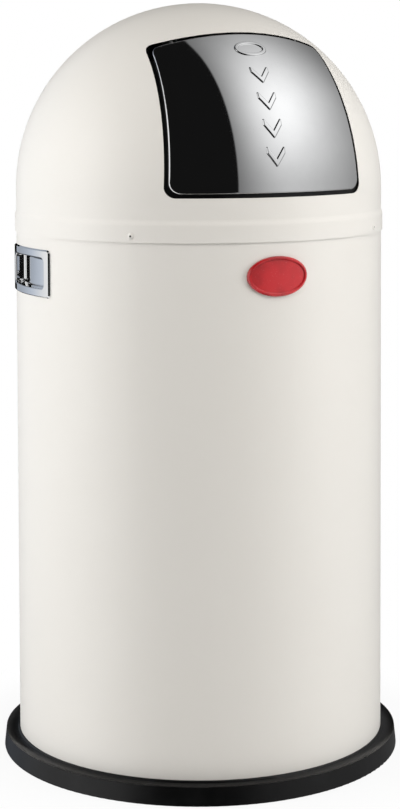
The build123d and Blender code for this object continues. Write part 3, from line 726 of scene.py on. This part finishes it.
def mirroredStudio(shader, way):
    x, y, z = shader.axes(way)
    front = -y
    panel = x.ramp(*mirrored["acrossRamp"]) * front.ramp(*mirrored["frontRamp"])
    panel = panel * z.ramp(*mirrored["lowRamp"], mirrored["lowShare"], 1.0)
    behind = y.ramp(*mirrored["behindEdge"], 1.0, 0.0)
    right = (mirrored["rightBase"] + mirrored["rightPeak"] * panel) * behind
    turn = math.radians(mirrored["leftPanelTurn"])
    beyond = math.sin(turn) * y - math.cos(turn) * x
    lit = beyond.ramp(*mirrored["leftPanelEdge"]) * z.ramp(*mirrored["leftPanelTop"])
    back = x.ramp(*mirrored["backSpan"], *mirrored["backGrey"])
    back = back * z.ramp(*mirrored["lowFlag"], mirrored["lowGrey"], 1.0)
    share = y.ramp(*mirrored["backEdge"])
    panelGrey = (1 - share) * mirrored["leftPanel"] + share * back
    left = mirrored["flag"] + lit * (panelGrey - mirrored["flag"])
    side = x.ramp(*mirrored["sideEdge"])
    tinted = share * (1 - side) * x.ramp(*mirrored["backTint"])
    colour = shader.tint(tinted, (1.0, 1.0, 1.0), mirrored["backColour"])
    return left * (1 - side) + right * side, colour


def buildWorld():
    world = bpy.data.worlds.new("studioWorld")
    world.use_nodes = True
    bpy.context.scene.world = world
    shader = Shader(world.node_tree)
    seen = shader.ray("Camera") + shader.ray("Transmission")
    mirroring = shader.ray("Glossy")
    way = shader.add("ShaderNodeTexCoord", output="Generated")  # in the world, the direction looked in
    mirroredLevel, mirroredColour = mirroredStudio(shader, way)
    level = seen + mirroring * mirroredLevel + (1 - seen - mirroring) * studio["fill"]
    colour = shader.tint(mirroring, (1.0, 1.0, 1.0), mirroredColour)
    background = shader.add("ShaderNodeBackground", {}, {"Color": colour, "Strength": level})
    shader.add("ShaderNodeOutputWorld", {}, {"Surface": background})


def buildFloor():
    half = studio["floorSize"] / 2
    corners = [(-half, -half, 0), (half, -half, 0), (half, half, 0), (-half, half, 0)]
    mesh = bpy.data.meshes.new("studioFloor")
    mesh.from_pydata(corners, [], [(0, 1, 2, 3)])
    floor = bpy.data.objects.new("studioFloor", mesh)
    floor.visible_glossy = False
    bpy.context.scene.collection.objects.link(floor)
    material = bpy.data.materials.new("floorWhite")
    material.use_nodes = True
    shader = Shader(material.node_tree)
    place = shader.place()
    fromAxis = shader.add("ShaderNodeVectorMath", {"operation": "LENGTH"}, {0: place}, output="Value")
    away = fromAxis.ramp(*studio["shadowRadius"], 1 - studio["shadowShare"], 1.0)
    lit = shader.add("ShaderNodeBsdfDiffuse", {}, {"Color": [studio["floorGrey"]] * 3})
    white = shader.add("ShaderNodeEmission", {}, {"Color": (1.0, 1.0, 1.0), "Strength": 1.0})
    seen = shader.add("ShaderNodeMixShader", {}, {0: away, 1: lit, 2: white})
    forAll = shader.add("ShaderNodeMixShader", {}, {0: shader.ray("Camera"), 1: lit, 2: seen})
    shader.add("ShaderNodeOutputMaterial", {}, {"Surface": forAll})
    mesh.materials.append(material)


buildWorld()
buildFloor()
print("studio lit")


camera = {
    "turn": -23.57,  # degrees round the bin from its front, towards -X
    "distance": 2.0624,
    "height": 0.6878,
    "pitch": 3.107,  # degrees down, with the lens shifted for uprights that are almost parallel
    "roll": -0.198,
    "focalPixels": 2030.6,  # in a frame 809 pixels high
    "frame": (400, 809),
    "axisPixel": (198.48, 180.0),  # where the view axis meets the frame
    "sensor": 36.0,
    "clip": (0.05, 50.0),
}


def addCamera(settings):
    wide, tall = settings["frame"]
    lens = bpy.data.cameras.new("camera")
    lens.sensor_fit = "AUTO"
    lens.sensor_width = settings["sensor"]
    lens.lens = settings["focalPixels"] * settings["sensor"] / tall
    lens.shift_x = (wide / 2 - settings["axisPixel"][0]) / tall
    lens.shift_y = (settings["axisPixel"][1] - tall / 2) / tall
    lens.clip_start, lens.clip_end = settings["clip"]
    holder = bpy.data.objects.new("camera", lens)
    turn, pitch = math.radians(settings["turn"]), math.radians(settings["pitch"])
    out = Vector((math.sin(turn), -math.cos(turn), 0))
    holder.location = out * settings["distance"] + Vector((0, 0, settings["height"]))
    look = -out * math.cos(pitch) - Vector((0, 0, math.sin(pitch)))
    rolled = Quaternion((0, 0, 1), math.radians(settings["roll"]))
    holder.rotation_euler = (look.to_track_quat("-Z", "Y") @ rolled).to_euler()
    bpy.context.scene.collection.objects.link(holder)
    bpy.context.scene.camera = holder


addCamera(camera)
bpy.context.scene.view_settings.view_transform = "Standard"
print("camera placed")
